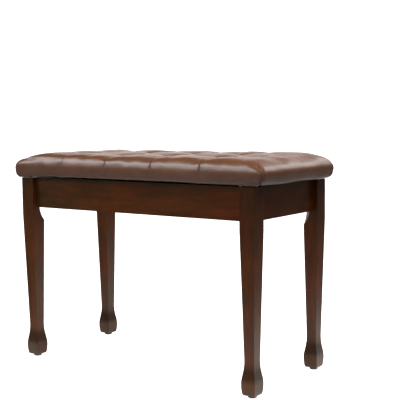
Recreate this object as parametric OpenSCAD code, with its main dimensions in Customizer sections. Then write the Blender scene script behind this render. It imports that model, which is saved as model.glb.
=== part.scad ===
// Storage piano bench: four square tapered legs with spade feet, a box of
// four aprons and a bottom panel, and a padded lid on a continuous hinge,
// held open by a folding stay.
// Millimetres, +Z up. Origin on the floor under the middle of the bench,
// X along the bench, the player's side at -Y, the hinge at +Y.

/* [Overall] */
// Distance over the legs' outer faces along the bench
leg_span_x = 694; // [640:1:760]
// Distance over the legs' outer faces from front to back
leg_span_y = 315; // [300:1:360]
// Height of the top of the box
box_top = 460.1; // [455:0.1:475]
// Gap that the bumpers hold between the box and the closed lid
lid_gap = 5; // [4.8:0.1:5.2]

/* [Legs] */
// Side of the square leg above its taper
leg_size = 38; // [36:1:42]
// Height where the taper starts
taper_z = 366; // [350:1:375]
// How far the leg's centre leans inward at the floor
leg_lean = 0.85; // [0:0.05:2]
// Setback of the flat on the leg's inner corner
leg_flat = 16; // [14:1:18]
// Radius of the cutter run-out under the flat
flat_runout_r = 60; // [40:5:80]

/* [Aprons] */
// Height of the aprons' bottom edge
apron_bottom = 385; // [380:1:392]
// Thickness of the apron boards
apron_t = 15; // [14:1:18]
// Setback of the front and side aprons from the legs' outer faces
apron_setback = 12.4; // [10:0.2:14]
// Thickness of the bottom panel
panel_t = 5; // [4:0.5:6]

/* [Seat] */
// Length of the seat at its widest
seat_len = 745; // [720:1:790]
// Depth of the seat at its widest
seat_dep = 325.2; // [310:0.2:370]
// Height of the crown of the seat
seat_top = 522.4; // [515:0.1:540]
// Thickness of the seat board
board_t = 12; // [9:1:15]
// Thickness of the leather cover
cover_t = 1.2; // [1:0.1:1.5]
// Distance between tufts along the bench
tuft_x = 137.4; // [125:0.2:145]
// Distance between the two rows of tufts
tuft_y = 108; // [95:1:115]

/* [Hinge] */
// Length of the continuous hinge
hinge_len = 588; // [540:24:588]
// Radius of the hinge pin
pin_r = 1.2; // [1:0.1:1.3]
// Radial running clearance of the pin
pin_clear = 0.06; // [0.03:0.01:0.1]
// Outer radius of the knuckles
knuckle_r = 2.3; // [2.2:0.05:2.4]
// Number of knuckles, box and lid together
knuckles = 24; // [12:2:28]

/* [Stay] */
// Width of the stay's arms
stay_w = 14; // [12:1:15]
// Thickness of the stay's arms
stay_t = 2; // [1.5:0.1:2]
// Distance of the lid pivot in front of the hinge pin
stay_reach = 150; // [130:1:160]

/* [Hardware] */
// Diameter of the hanger bolts
bolt_d = 8; // [6:1:8]
// Diameter of the floor glides
glide_d = 20; // [18:1:22]

/* [Hidden] */
$fn = 64;

LW = leg_span_x / 2;
LD = leg_span_y / 2;
LH = leg_size / 2;
R2 = sqrt(2);
// inner faces of the box, measured from the legs' outer faces
in_set = apron_setback + apron_t;
rear_set = apron_t;
// diagonal distances from a leg's axis, toward the middle of the bench
flat_d = LH * R2 - leg_flat / R2;
block_d0 = flat_d + 2.8;
block_d1 = block_d0 + 15;
washer_d1 = block_d1 + 1.6;
bolt_z = 424;
bolt_tip_d = -16.4;
bolt_end_d = 50;
block_z0 = 398;
block_z1 = 450;
panel_z = apron_bottom + 6;
groove = 5;

// height of the underside of the lid, and of the parts above it
lid_z = box_top + lid_gap;
board_z = lid_z + cover_t;
seat_hx = seat_len / 2;
seat_hy = seat_dep / 2;
tuft_xs = [-1.5, -0.5, 0.5, 1.5];
button_z = seat_top - 12;

// hinge axis
hin_y = LD + 0.5 + knuckle_r;
hin_z = box_top + lid_gap / 2;
leaf_t = 1.1;
leaf_y0 = LD - apron_t + 1;
knuckle_w = hinge_len / knuckles;

// stay pivots: the four pivots and the hinge axis make a parallelogram
st_a = [hin_y - 72, hin_z - 44];
st_b = [hin_y - stay_reach, hin_z - 9];
st_c = st_a + st_b - [hin_y, hin_z];
wall_x = LW - in_set;
plate_t = 2;
low_x = wall_x - plate_t - 0.4 - stay_t;
upp_x = low_x - 0.4 - stay_t;
rivet_r = 2.95;

wood = [0.24, 0.14, 0.08];
ply = [0.62, 0.47, 0.32];
steel = [0.72, 0.72, 0.74];
brass_c = [0.72, 0.58, 0.32];
leather_c = [0.33, 0.22, 0.17];
black = [0.07, 0.07, 0.07];

// ---- rules for the curved shapes ----

// half width of the spade foot at chosen heights, for a 38 mm leg
foot = [[3, 12.6], [6, 14.4], [8.5, 15.8], [13, 16.8], [21, 17.65], [30, 18.0],
        [39, 17.55], [49, 16.0], [59, 14.3], [69, 13.1], [82, 12.6], [97, 12.95], [130, 13.7]];
function cr(a, b, c, d, t) =
    0.5 * (2*b + (c - a)*t + (2*a - 5*b + 4*c - d)*t*t + (3*b - a - 3*c + d)*t*t*t);
foot_curve = [for (i = [1 : len(foot) - 3]) for (k = [0 : 2])
    let (t = k / 3) [cr(foot[i-1][0], foot[i][0], foot[i+1][0], foot[i+2][0], t),
                     cr(foot[i-1][1], foot[i][1], foot[i+1][1], foot[i+2][1], t) * leg_size / 38]];
half_w = concat(foot_curve, [[foot[11][0], foot[11][1] * leg_size / 38], [taper_z, LH], [box_top, LH]]);
function lean(z) = z < taper_z ? leg_lean * (taper_z - z) / taper_z : 0;
leg_outline = concat([for (p = half_w) [lean(p[0]) - p[1], p[0]]],
                     [for (i = [len(half_w) - 1 : -1 : 0]) [lean(half_w[i][0]) + half_w[i][1], half_w[i][0]]]);

// seat levels: height above the underside, inset along X, inset along Y, corner radius
seat_rule = [[0, 9.5, 6, 10], [1.2, 7, 3.6, 11], [3.2, 4.6, 1.8, 12.5], [8, 1.9, 0.7, 14],
             [19, 0, 0, 15], [25, 1, 0.4, 15], [30, 3, 1.3, 16], [36, 7.5, 3.1, 17.5],
             [42, 16.5, 5.8, 20], [46, 25.5, 8.3, 22], [50, 37.5, 12.2, 25], [52.4, 49, 16.2, 27],
             [54, 60, 20.5, 28], [55.2, 75, 27, 30], [56.1, 95, 40, 32], [56.7, 130, 62, 32], [57.3, 200, 100, 25]];
seat_k = (seat_top - lid_z) / 57.3;
corner_n = 7;
// one rounded rectangle of the seat at a level, moved inward by g
function ring(l, g) =
    let (hx = seat_hx - l[1] - g, hy = seat_hy - l[2] - g, r = min(max(l[3] - g, 1), hy - 0.5))
    [for (q = [0 : 3]) for (i = [0 : corner_n])
        let (a = q * 90 + i * 90 / corner_n,
             sx = (q == 0 || q == 3) ? 1 : -1, sy = (q < 2) ? 1 : -1)
        [sx * (hx - r) + r * cos(a), sy * (hy - r) + r * sin(a)]];
RN = 4 * (corner_n + 1);
module seat_form(g) {
    n = len(seat_rule);
    zs = [for (i = [0 : n - 1]) lid_z + seat_rule[i][0] * seat_k
            + (i == 0 ? g : (i > 9 ? -g : (i > 7 ? -g / 2 : (i < 3 ? g * 0.4 : 0))))];
    pts = [for (i = [0 : n - 1]) let (rg = ring(seat_rule[i], g)) for (p = rg) [p[0], p[1], zs[i]]];
    sides = [for (i = [0 : n - 2]) for (j = [0 : RN - 1])
        let (k = (j + 1) % RN) each [[i*RN + j, (i+1)*RN + j, (i+1)*RN + k], [i*RN + j, (i+1)*RN + k, i*RN + k]]];
    polyhedron(points = pts, faces = concat([[for (j = [0 : RN - 1]) j]],
        sides, [[for (j = [RN - 1 : -1 : 0]) (n-1)*RN + j]]), convexity = 4);
}

// ---- placing ----

// children in a corner's own axes: x and y run inward from the leg's outer faces
module corner(sx, sy)
    translate([sx * LW, sy * LD, 0]) mirror([sx > 0 ? 1 : 0, 0, 0]) mirror([0, sy > 0 ? 1 : 0, 0]) children();
// children with +X pointing from the leg's axis to the middle of the bench
module diagonal(sx, sy) corner(sx, sy) translate([LH, LH, 0]) rotate([0, 0, 45]) children();
// children with +Z pointing inward along the diagonal at the bolt's height
module along_bolt(sx, sy) diagonal(sx, sy) translate([0, 0, bolt_z]) rotate([0, 90, 0]) children();
module all_corners() { for (sx = [-1, 1]) for (sy = [-1, 1]) { $sx = sx; $sy = sy; children(); } }
// children in the plane of the stay, with +Z along +X of the bench
module at_stay(p, x) translate([x, p[0], p[1]]) rotate([0, 90, 0]) children();

// ---- common shapes ----

// countersunk wood screw, head up at z = 0
module screw(len, r, head_r) {
    difference() {
        union() {
            translate([0, 0, -(head_r - r)]) cylinder(r1 = r, r2 = head_r, h = head_r - r);
            translate([0, 0, -len + 3]) cylinder(r = r, h = len - 3 - (head_r - r) + 0.001);
            translate([0, 0, -len]) cylinder(r1 = 0.3, r2 = r, h = 3);
        }
        for (a = [0, 90]) rotate([0, 0, a]) translate([-head_r * 0.6, -0.25, -0.7]) cube([head_r * 1.2, 0.5, 1]);
    }
}
// the hole that such a screw fills
module screw_hole(len, r, head_r) {
    translate([0, 0, -(head_r - r)]) cylinder(r1 = r, r2 = head_r, h = head_r - r);
    translate([0, 0, -len + 3]) cylinder(r = r, h = len - 3 - (head_r - r) + 0.001);
    translate([0, 0, -len]) cylinder(r1 = 0.3, r2 = r, h = 3);
}

// ---- screw places ----

block_zs = [block_z0 + 10, block_z1 - 10];
// places of the screws of one corner block: into the end apron, and into the long apron
module at_block_screws(sx, sy) {
    ys = sy < 0 ? 50 : 60;
    yh = sy < 0 ? 34 : 23.5;
    for (z = block_zs) corner(sx, sy) {
        translate([34, 50, z]) rotate([0, 90, 0]) children();
        translate([ys, yh, z]) rotate([-90, 0, 0]) children();
    }
}
module at_box_leaf() for (i = [-3 : 3]) translate([i * hinge_len / 7, leaf_y0 + 7, box_top + leaf_t]) children();
module at_lid_leaf() for (i = [-2.5 : 1 : 2.5])
    translate([i * hinge_len / 7, leaf_y0 + 7, lid_z - leaf_t]) rotate([180, 0, 0]) children();
module at_stay_box() for (dz = [13.5, 26.5])
    translate([wall_x - plate_t, st_a[0], st_a[1] + dz]) rotate([0, -90, 0]) children();
module at_stay_lid() for (dy = [-8, 8])
    translate([low_x - 16, st_b[0] + dy, lid_z - 2.4]) rotate([180, 0, 0]) children();

// ---- legs and glides ----

module bolt_in_leg() {
    translate([0, 0, bolt_tip_d]) cylinder(r1 = 0.6, r2 = bolt_d / 2, h = 4);
    translate([0, 0, bolt_tip_d + 4]) cylinder(r = bolt_d / 2, h = flat_d - bolt_tip_d + 2);
}
module leg(sx, sy) {
    color(wood) difference() {
        corner(sx, sy) translate([LH, LH, 0]) intersection() {
            rotate([90, 0, 0]) linear_extrude(height = 60, center = true) polygon(leg_outline);
            rotate([90, 0, 90]) linear_extrude(height = 60, center = true) polygon(leg_outline);
        }
        // flat on the inner corner with its run-out
        diagonal(sx, sy) {
            translate([flat_d, -30, apron_bottom]) cube([40, 60, box_top]);
            translate([flat_d + flat_runout_r, 0, apron_bottom]) rotate([90, 0, 0])
                cylinder(r = flat_runout_r, h = 60, center = true, $fn = 96);
        }
        along_bolt(sx, sy) bolt_in_leg();
        corner(sx, sy) translate([LH + lean(0), LH + lean(0), -1]) cylinder(r = 1.3, h = 21);
    }
}
module leg_front_left() leg(-1, -1);
module leg_front_right() leg(1, -1);
module leg_rear_left() leg(-1, 1);
module leg_rear_right() leg(1, 1);

module at_glides() all_corners() corner($sx, $sy) translate([LH + lean(0), LH + lean(0), 0]) children();
module floor_glides() color(black) at_glides() difference() {
    rotate_extrude() polygon([[0, 0], [glide_d/2 - 3, 0], [glide_d/2 - 1.2, 0.5], [glide_d/2, 2],
                              [glide_d/2, 5.2], [glide_d/2 - 0.8, 6], [0, 6]]);
    translate([0, 0, -1]) cylinder(r = 1.3, h = 8);
    translate([0, 0, -1]) cylinder(r = 3.2, h = 2.6);
}
module glide_nails() color(steel) at_glides() {
    translate([0, 0, 0.6]) cylinder(r = 3.2, h = 1);
    translate([0, 0, 1.5]) cylinder(r = 1.3, h = 16.5);
    translate([0, 0, 18]) cylinder(r1 = 1.3, r2 = 0.2, h = 2);
}

// ---- box ----

module front_apron() color(wood) difference() {
    translate([-(LW - leg_size), -(LD - apron_setback), apron_bottom])
        cube([2 * (LW - leg_size), apron_t, box_top - apron_bottom]);
    translate([-LW, -(LD - in_set) - groove, panel_z]) cube([2 * LW, groove + 1, panel_t]);
    for (sx = [-1, 1]) at_block_screws(sx, -1) screw_hole(18, 2, 4);
}
module rear_apron() color(wood) difference() {
    translate([-(LW - leg_size), LD - apron_t, apron_bottom])
        cube([2 * (LW - leg_size), apron_t, box_top - apron_bottom]);
    translate([-LW, LD - rear_set - 1, panel_z]) cube([2 * LW, groove + 1, panel_t]);
    for (sx = [-1, 1]) at_block_screws(sx, 1) screw_hole(18, 2, 4);
    at_box_leaf() screw_hole(14, 1.4, 2.8);
}
module side_apron(s) color(wood) difference() {
    translate([s > 0 ? wall_x : -wall_x - apron_t, -(LD - leg_size), apron_bottom])
        cube([apron_t, 2 * (LD - leg_size), box_top - apron_bottom]);
    translate([s > 0 ? wall_x - 1 : -wall_x - groove, -LD, panel_z]) cube([groove + 1, 2 * LD, panel_t]);
    for (sy = [-1, 1]) at_block_screws(s, sy) screw_hole(18, 2, 4);
    if (s > 0) at_stay_box() screw_hole(13, 1.6, 3.2);
}
module left_apron() side_apron(-1);
module right_apron() side_apron(1);

module bottom_panel() color(ply) translate([0, 0, panel_z]) linear_extrude(height = panel_t) {
    px = wall_x + groove;
    yf = -(LD - in_set) - groove;
    yr = LD - rear_set + groove;
    cut = 2 * LH + flat_d * R2 + 2;
    // corner cuts run at 45 degrees clear of the legs' flats
    polygon([[-px, yf + (cut - 2 * (in_set - groove))], [-px + (cut - 2 * (in_set - groove)), yf],
             [px - (cut - 2 * (in_set - groove)), yf], [px, yf + (cut - 2 * (in_set - groove))],
             [px, yr - (cut - in_set - rear_set + 2 * groove)], [px - (cut - in_set - rear_set + 2 * groove), yr],
             [-px + (cut - in_set - rear_set + 2 * groove), yr], [-px, yr - (cut - in_set - rear_set + 2 * groove)]]);
}

module corner_block(sx, sy) {
    ax = in_set;
    ay = sy < 0 ? in_set : rear_set;
    s0 = 2 * LH + block_d0 * R2;
    s1 = 2 * LH + block_d1 * R2;
    color(ply) difference() {
        corner(sx, sy) translate([0, 0, block_z0]) linear_extrude(height = block_z1 - block_z0)
            polygon([[ax, s0 - ax], [s0 - ay, ay], [s1 - ay, ay], [ax, s1 - ax]]);
        along_bolt(sx, sy) translate([0, 0, block_d0 - 5]) cylinder(r = bolt_d / 2 + 0.25, h = 40);
        at_block_screws(sx, sy) { screw_hole(18, 2, 4); cylinder(r = 4, h = 12); }
    }
}
module corner_block_front_left() corner_block(-1, -1);
module corner_block_front_right() corner_block(1, -1);
module corner_block_rear_left() corner_block(-1, 1);
module corner_block_rear_right() corner_block(1, 1);
module corner_block_screws() color(brass_c) all_corners() at_block_screws($sx, $sy) screw(18, 2, 4);

module hanger_bolts() color(steel) all_corners() along_bolt($sx, $sy) {
    bolt_in_leg();
    translate([0, 0, flat_d]) cylinder(r = bolt_d / 2, h = bolt_end_d - flat_d - 1);
    translate([0, 0, bolt_end_d - 1]) cylinder(r1 = bolt_d / 2, r2 = bolt_d / 2 - 1, h = 1);
}
module hanger_washers() color(steel) all_corners() along_bolt($sx, $sy)
    translate([0, 0, block_d1]) difference() {
        cylinder(r = 9, h = 1.6);
        translate([0, 0, -1]) cylinder(r = bolt_d / 2 + 0.25, h = 4);
    }
module wing_nuts() color(steel) all_corners() along_bolt($sx, $sy)
    translate([0, 0, washer_d1]) rotate([0, 0, 25]) difference() {
        union() {
            cylinder(r1 = 7, r2 = 6, h = 7);
            for (s = [-1, 1]) translate([s * 9.5, 0, 7.5]) rotate([90, 0, 0]) cylinder(r = 5, h = 2.2, center = true);
            for (s = [-1, 1]) translate([s * 6.5 - 3, -1.1, 1]) cube([6, 2.2, 7]);
        }
        translate([0, 0, -1]) cylinder(r = bolt_d / 2, h = 20);
    }

module lid_bumpers() color([0.8, 0.8, 0.78]) for (s = [-1, 1]) {
    for (p = [[s * 302, -(LD - apron_setback - apron_t / 2)], [s * (wall_x + apron_t / 2), 88]])
        translate([p[0], p[1], box_top]) {
            cylinder(r = 5.5, h = lid_gap - 1);
            translate([0, 0, lid_gap - 1]) cylinder(r1 = 5.5, r2 = 4.4, h = 0.9);
        }
}

// ---- hinge ----

// one leaf: a plate from z0 up, and every second knuckle from the first
module leaf(z0, first) {
    difference() {
        union() {
            translate([-hinge_len / 2, leaf_y0, z0]) cube([hinge_len, LD + 0.1 - leaf_y0, leaf_t]);
            for (i = [first : 2 : knuckles - 1]) {
                x0 = -hinge_len / 2 + i * knuckle_w + 0.15;
                translate([x0, LD - 0.5, z0]) cube([knuckle_w - 0.3, hin_y - 0.9 - LD + 0.5, leaf_t]);
                translate([x0, hin_y, hin_z]) rotate([0, 90, 0]) cylinder(r = knuckle_r, h = knuckle_w - 0.3);
            }
        }
        translate([-hinge_len / 2 - 1, hin_y, hin_z]) rotate([0, 90, 0]) cylinder(r = pin_r + pin_clear, h = hinge_len + 2);
        children();
    }
}
module hinge_box_leaf() color(brass_c) leaf(box_top, 0) at_box_leaf() screw_hole(14, 1.4, 2.8);
module hinge_lid_leaf() color(brass_c) leaf(lid_z - leaf_t, 1) at_lid_leaf() screw_hole(11, 1.4, 2.8);
module hinge_pin() color(brass_c) translate([-hinge_len / 2 - 0.5, hin_y, hin_z]) rotate([0, 90, 0])
    cylinder(r = pin_r, h = hinge_len + 1);
module hinge_box_screws() color(brass_c) at_box_leaf() screw(14, 1.4, 2.8);
module hinge_lid_screws() color(brass_c) at_lid_leaf() screw(11, 1.4, 2.8);

// ---- stay ----

module stay_box_bracket() color(steel) difference() {
    union() {
        at_stay(st_a, wall_x - plate_t) cylinder(r = 8.5, h = plate_t);
        at_stay(st_a + [0, 30], wall_x - plate_t) cylinder(r = 8.5, h = plate_t);
        translate([wall_x - plate_t, st_a[0] - 8.5, st_a[1]]) cube([plate_t, 17, 30]);
        // bent tab that stops the lower arm with the lid just past upright
        translate([low_x - 0.2, st_a[0] + 2, st_a[1] + 30]) cube([wall_x - low_x, 2, 7]);
    }
    at_stay(st_a, wall_x - 5) cylinder(r = rivet_r, h = 10);
    at_stay_box() screw_hole(13, 1.6, 3.2);
}
module stay_box_screws() color(steel) at_stay_box() screw(13, 1.6, 3.2);
module rivet_head(r, h) difference() {
    translate([0, 0, h - (r * r + h * h) / (2 * h)]) sphere(r = (r * r + h * h) / (2 * h), $fn = 48);
    translate([0, 0, -50]) cube([100, 100, 100], center = true);
}
module stay_box_rivet() color(steel) {
    at_stay(st_a, low_x - 0.2) cylinder(r = rivet_r, h = wall_x - low_x + 0.2);
    translate([low_x - 0.2, st_a[0], st_a[1]]) rotate([0, -90, 0]) rivet_head(5.5, 1.6);
}
// flat arm between two pivots, with an eye at each end
module arm(p, q, x, rp, rq) {
    d = q - p;
    l = sqrt(d[0] * d[0] + d[1] * d[1]);
    difference() {
        union() {
            at_stay(p, x) cylinder(r = stay_w / 2, h = stay_t);
            at_stay(q, x) cylinder(r = stay_w / 2, h = stay_t);
            translate([x, p[0], p[1]]) rotate([atan2(d[1], d[0]), 0, 0])
                translate([0, 0, -stay_w / 2 + 1]) cube([stay_t, l, stay_w - 2]);
        }
        at_stay(p, x - 1) cylinder(r = rp, h = stay_t + 2);
        at_stay(q, x - 1) cylinder(r = rq, h = stay_t + 2);
    }
}
module stay_lower_arm() color(steel) arm(st_a, st_c, low_x, rivet_r + 0.1, rivet_r + 0.1);
module stay_upper_arm() color(steel) arm(st_b, st_c, upp_x, rivet_r + 0.1, rivet_r);
module stay_elbow_rivet() color(steel) {
    at_stay(st_c, upp_x) cylinder(r = rivet_r, h = low_x + stay_t + 0.2 - upp_x);
    translate([upp_x, st_c[0], st_c[1]]) rotate([0, -90, 0]) rivet_head(5.5, 1.5);
    at_stay(st_c, low_x + stay_t + 0.2) rivet_head(5, 1.2);
}
module stay_lid_bracket() color(steel) difference() {
    union() {
        at_stay(st_b, low_x) cylinder(r = 8, h = plate_t);
        translate([low_x, st_b[0] - 8, st_b[1]]) cube([plate_t, 16, lid_z - 0.4 - st_b[1]]);
        translate([low_x - 24, st_b[0] - 14, lid_z - 2.4]) cube([24 + plate_t, 28, 2]);
    }
    at_stay(st_b, low_x - 2) cylinder(r = rivet_r, h = 8);
    at_stay_lid() screw_hole(12, 1.6, 3.2);
}
module stay_lid_screws() color(steel) at_stay_lid() screw(12, 1.6, 3.2);
module stay_lid_rivet() color(steel) {
    at_stay(st_b, upp_x - 0.2) cylinder(r = rivet_r, h = low_x + plate_t - upp_x + 0.2);
    translate([upp_x - 0.2, st_b[0], st_b[1]]) rotate([0, -90, 0]) rivet_head(5.5, 1.5);
    at_stay(st_b, low_x + plate_t) rivet_head(4.6, 1.1);
}

// ---- seat ----

module at_tufts() for (i = tuft_xs) for (j = [-0.5, 0.5]) translate([i * tuft_x, j * tuft_y, 0]) children();
module dimples(r, z) at_tufts() translate([0, 0, z]) cylinder(r = r, h = 40, $fn = 32);
board_x = seat_hx - 18.5;
board_y = seat_hy - 10.2;

module seat_board() color(ply) difference() {
    union() {
        translate([-board_x + 10, -board_y, board_z]) cube([2 * board_x - 20, 2 * board_y, board_t]);
        translate([-board_x, -board_y + 10, board_z]) cube([2 * board_x, 2 * board_y - 20, board_t]);
        for (sx = [-1, 1]) for (sy = [-1, 1])
            translate([sx * (board_x - 10), sy * (board_y - 10), board_z]) cylinder(r = 10, h = board_t);
    }
    at_tufts() translate([0, 0, board_z - 1]) cylinder(r = 3, h = board_t + 2);
    at_lid_leaf() screw_hole(11, 1.4, 2.8);
    at_stay_lid() screw_hole(12, 1.6, 3.2);
}
module foam_pad() color([0.85, 0.82, 0.7]) difference() {
    seat_form(cover_t);
    translate([-board_x, -board_y, lid_z - 1]) cube([2 * board_x, 2 * board_y, cover_t + 1 + board_t]);
    dimples(13.2, button_z - cover_t);
    at_tufts() translate([0, 0, board_z]) cylinder(r = 0.8, h = 60, $fn = 16);
}
module seat_cover() color(leather_c) difference() {
    seat_form(0);
    difference() {
        seat_form(cover_t);
        dimples(13.2, button_z - cover_t);
    }
    dimples(12, button_z);
    translate([-308, -116, lid_z - 1]) cube([616, 240, 4]);
    at_tufts() translate([0, 0, board_z]) cylinder(r = 0.8, h = 60, $fn = 16);
    at_lid_leaf() screw_hole(11, 1.4, 2.8);
}
module dust_cover() color(black) difference() {
    translate([-318, -126, lid_z - 0.4]) cube([636, 260, 0.4]);
    at_stay_lid() screw_hole(12, 1.6, 3.2);
}
module staple() {
    translate([-5, -0.6, -0.6]) cube([10, 1.2, 0.6]);
    for (s = [-1, 1]) translate([s * 4.6 - 0.4, -0.6, -0.1]) cube([0.8, 1.2, 6]);
}
module cover_staples() color(steel) translate([0, 0, lid_z - 0.4]) {
    for (i = [-5 : 5]) for (y = [-121, 129]) translate([i * 57, y, 0]) staple();
    for (j = [-1 : 1]) for (x = [-313, 313]) translate([x, 4 + j * 62 + (x > 0 ? 30 : 0), 0]) rotate([0, 0, 90]) staple();
}
module tuft_buttons() color(leather_c) at_tufts() translate([0, 0, button_z]) {
    cylinder(r = 10, h = 1.6);
    translate([0, 0, 1.6]) intersection() {
        cylinder(r = 10, h = 6);
        translate([0, 0, 4.4 - 13.56]) sphere(r = 13.56);
    }
}
module tuft_ties() color([0.85, 0.85, 0.8]) at_tufts() translate([0, 0, board_z]) cylinder(r = 0.8, h = button_z - board_z, $fn = 16);

leg_front_left();
leg_front_right();
leg_rear_left();
leg_rear_right();
front_apron();
rear_apron();
left_apron();
right_apron();
bottom_panel();
corner_block_front_left();
corner_block_front_right();
corner_block_rear_left();
corner_block_rear_right();
corner_block_screws();
hanger_bolts();
hanger_washers();
wing_nuts();
floor_glides();
glide_nails();
lid_bumpers();
hinge_box_leaf();
hinge_lid_leaf();
hinge_pin();
hinge_box_screws();
hinge_lid_screws();
stay_box_bracket();
stay_box_screws();
stay_box_rivet();
stay_lower_arm();
stay_upper_arm();
stay_elbow_rivet();
stay_lid_bracket();
stay_lid_screws();
stay_lid_rivet();
seat_board();
foam_pad();
seat_cover();
dust_cover();
cover_staples();
tuft_buttons();
tuft_ties();
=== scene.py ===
import math

import bpy
import numpy as np
from mathutils import Matrix, Vector
from mathutils.kdtree import KDTree


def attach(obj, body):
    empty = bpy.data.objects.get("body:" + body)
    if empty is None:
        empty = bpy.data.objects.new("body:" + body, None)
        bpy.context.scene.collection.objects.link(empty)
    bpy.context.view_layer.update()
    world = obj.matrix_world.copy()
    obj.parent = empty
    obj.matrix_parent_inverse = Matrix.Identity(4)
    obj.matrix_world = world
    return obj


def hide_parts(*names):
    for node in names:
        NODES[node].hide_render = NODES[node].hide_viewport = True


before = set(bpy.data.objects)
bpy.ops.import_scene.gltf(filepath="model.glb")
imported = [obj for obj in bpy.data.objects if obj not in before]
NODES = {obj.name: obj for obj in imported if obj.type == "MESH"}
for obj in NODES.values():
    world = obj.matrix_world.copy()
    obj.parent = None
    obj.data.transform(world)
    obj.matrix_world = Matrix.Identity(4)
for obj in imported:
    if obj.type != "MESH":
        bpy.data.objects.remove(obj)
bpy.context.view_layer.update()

# ---------------------------------------------------------------- camera

def make_camera():
    yaw, pitch, roll = 0.62224976, 0.09386212, -0.01056812
    fwd = Vector((-math.sin(yaw) * math.cos(pitch), math.cos(yaw) * math.cos(pitch), -math.sin(pitch)))
    right = Vector((math.cos(yaw), math.sin(yaw), 0))
    up = right.cross(fwd)
    r = right * math.cos(roll) + up * math.sin(roll)
    u = -right * math.sin(roll) + up * math.cos(roll)
    data = bpy.data.cameras.new("camera")
    data.sensor_width = 36
    data.lens = 944.1008 * 36 / 400
    data.clip_start, data.clip_end = 0.05, 60
    cam = bpy.data.objects.new("camera", data)
    bpy.context.scene.collection.objects.link(cam)
    m = Matrix((r, u, -fwd)).transposed().to_4x4()
    m.translation = Vector((1.40781, -1.83199, 0.62183))
    cam.matrix_world = m
    bpy.context.scene.camera = cam


make_camera()

# ---------------------------------------------------------------- node helpers


class Mat:
    """A node material: m.n(type, socket=value or output, ...) adds a node and links it."""

    def __init__(self, name):
        self.m = bpy.data.materials.new(name)
        self.m.use_nodes = True
        self.t = self.m.node_tree
        self.t.nodes.clear()
        self.out = self.t.nodes.new("ShaderNodeOutputMaterial")
        self.bsdf = self.t.nodes.new("ShaderNodeBsdfPrincipled")
        self.t.links.new(self.bsdf.outputs[0], self.out.inputs[0])
        self.coord = None

    def put(self, socket, value):
        if isinstance(value, bpy.types.NodeSocket):
            self.t.links.new(value, socket)
        else:
            socket.default_value = value

    def n(self, kind, props=None, **ins):
        node = self.t.nodes.new("ShaderNode" + kind)
        for k, v in (props or {}).items():
            setattr(node, k, v)
        for k, v in ins.items():
            key = int(k[1:]) if k[0] == "i" and k[1:].isdigit() else k.replace("_", " ")
            self.put(node.inputs[key], v)
        return node

    def obj(self):
        if self.coord is None:
            self.coord = self.n("TexCoord").outputs["Object"]
        return self.coord

    def mapped(self, scale, loc=(0, 0, 0), rot=(0, 0, 0), vec=None):
        return self.n("Mapping", Vector=vec or self.obj(), Scale=scale, Location=loc, Rotation=rot).outputs[0]

    def noise(self, vec, scale, detail=3.0, rough=0.55, dist=0.0, dims="3D"):
        return self.n("TexNoise", {"noise_dimensions": dims}, Vector=vec, Scale=scale, Detail=detail,
                      Roughness=rough, Distortion=dist).outputs["Fac"]

    def math(self, op, a, b=None, c=None, clamp=False):
        node = self.n("Math", {"operation": op, "use_clamp": clamp}, i0=a)
        if b is not None:
            self.put(node.inputs[1], b)
        if c is not None:
            self.put(node.inputs[2], c)
        return node.outputs[0]

    def ramp(self, fac, stops, mode="LINEAR"):
        node = self.n("ValToRGB", Fac=fac)
        cr = node.color_ramp
        cr.interpolation = mode
        while len(cr.elements) > 1:
            cr.elements.remove(cr.elements[-1])
        cr.elements[0].position = stops[0][0]
        cr.elements[0].color = (*stops[0][1], 1) if len(stops[0][1]) == 3 else stops[0][1]
        for p, c in stops[1:]:
            e = cr.elements.new(p)
            e.color = (*c, 1) if len(c) == 3 else c
        return node.outputs[0]

    def grey(self, fac, lo, hi, a=0.0, b=1.0):
        """fac from lo..hi mapped to a..b, clamped."""
        return self.n("MapRange", {"clamp": True}, Value=fac, From_Min=lo, From_Max=hi, To_Min=a, To_Max=b).outputs[0]

    def mix(self, fac, a, b, blend="MIX"):
        node = self.n("Mix", {"data_type": "RGBA", "blend_type": blend, "clamp_factor": True})
        self.put(node.inputs[0], fac)
        self.put(node.inputs[6], a if isinstance(a, bpy.types.NodeSocket) else (*a, 1))
        self.put(node.inputs[7], b if isinstance(b, bpy.types.NodeSocket) else (*b, 1))
        return node.outputs[2]

    def bump(self, height, strength, distance, normal=None):
        node = self.n("Bump", Height=height, Strength=strength, Distance=distance)
        if normal is not None:
            self.put(node.inputs["Normal"], normal)
        return node.outputs[0]

    def set(self, **ins):
        for k, v in ins.items():
            if isinstance(v, tuple) and len(v) == 3:
                v = (*v, 1)
            self.put(self.bsdf.inputs[k.replace("_", " ")], v)
        return self.m


def stretched(m, axis, along, across, seed):
    s = [across] * 3
    s[axis] = along
    return m.mapped(tuple(s), loc=(seed * 3.17, seed * 1.93, seed * 2.41))


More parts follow.
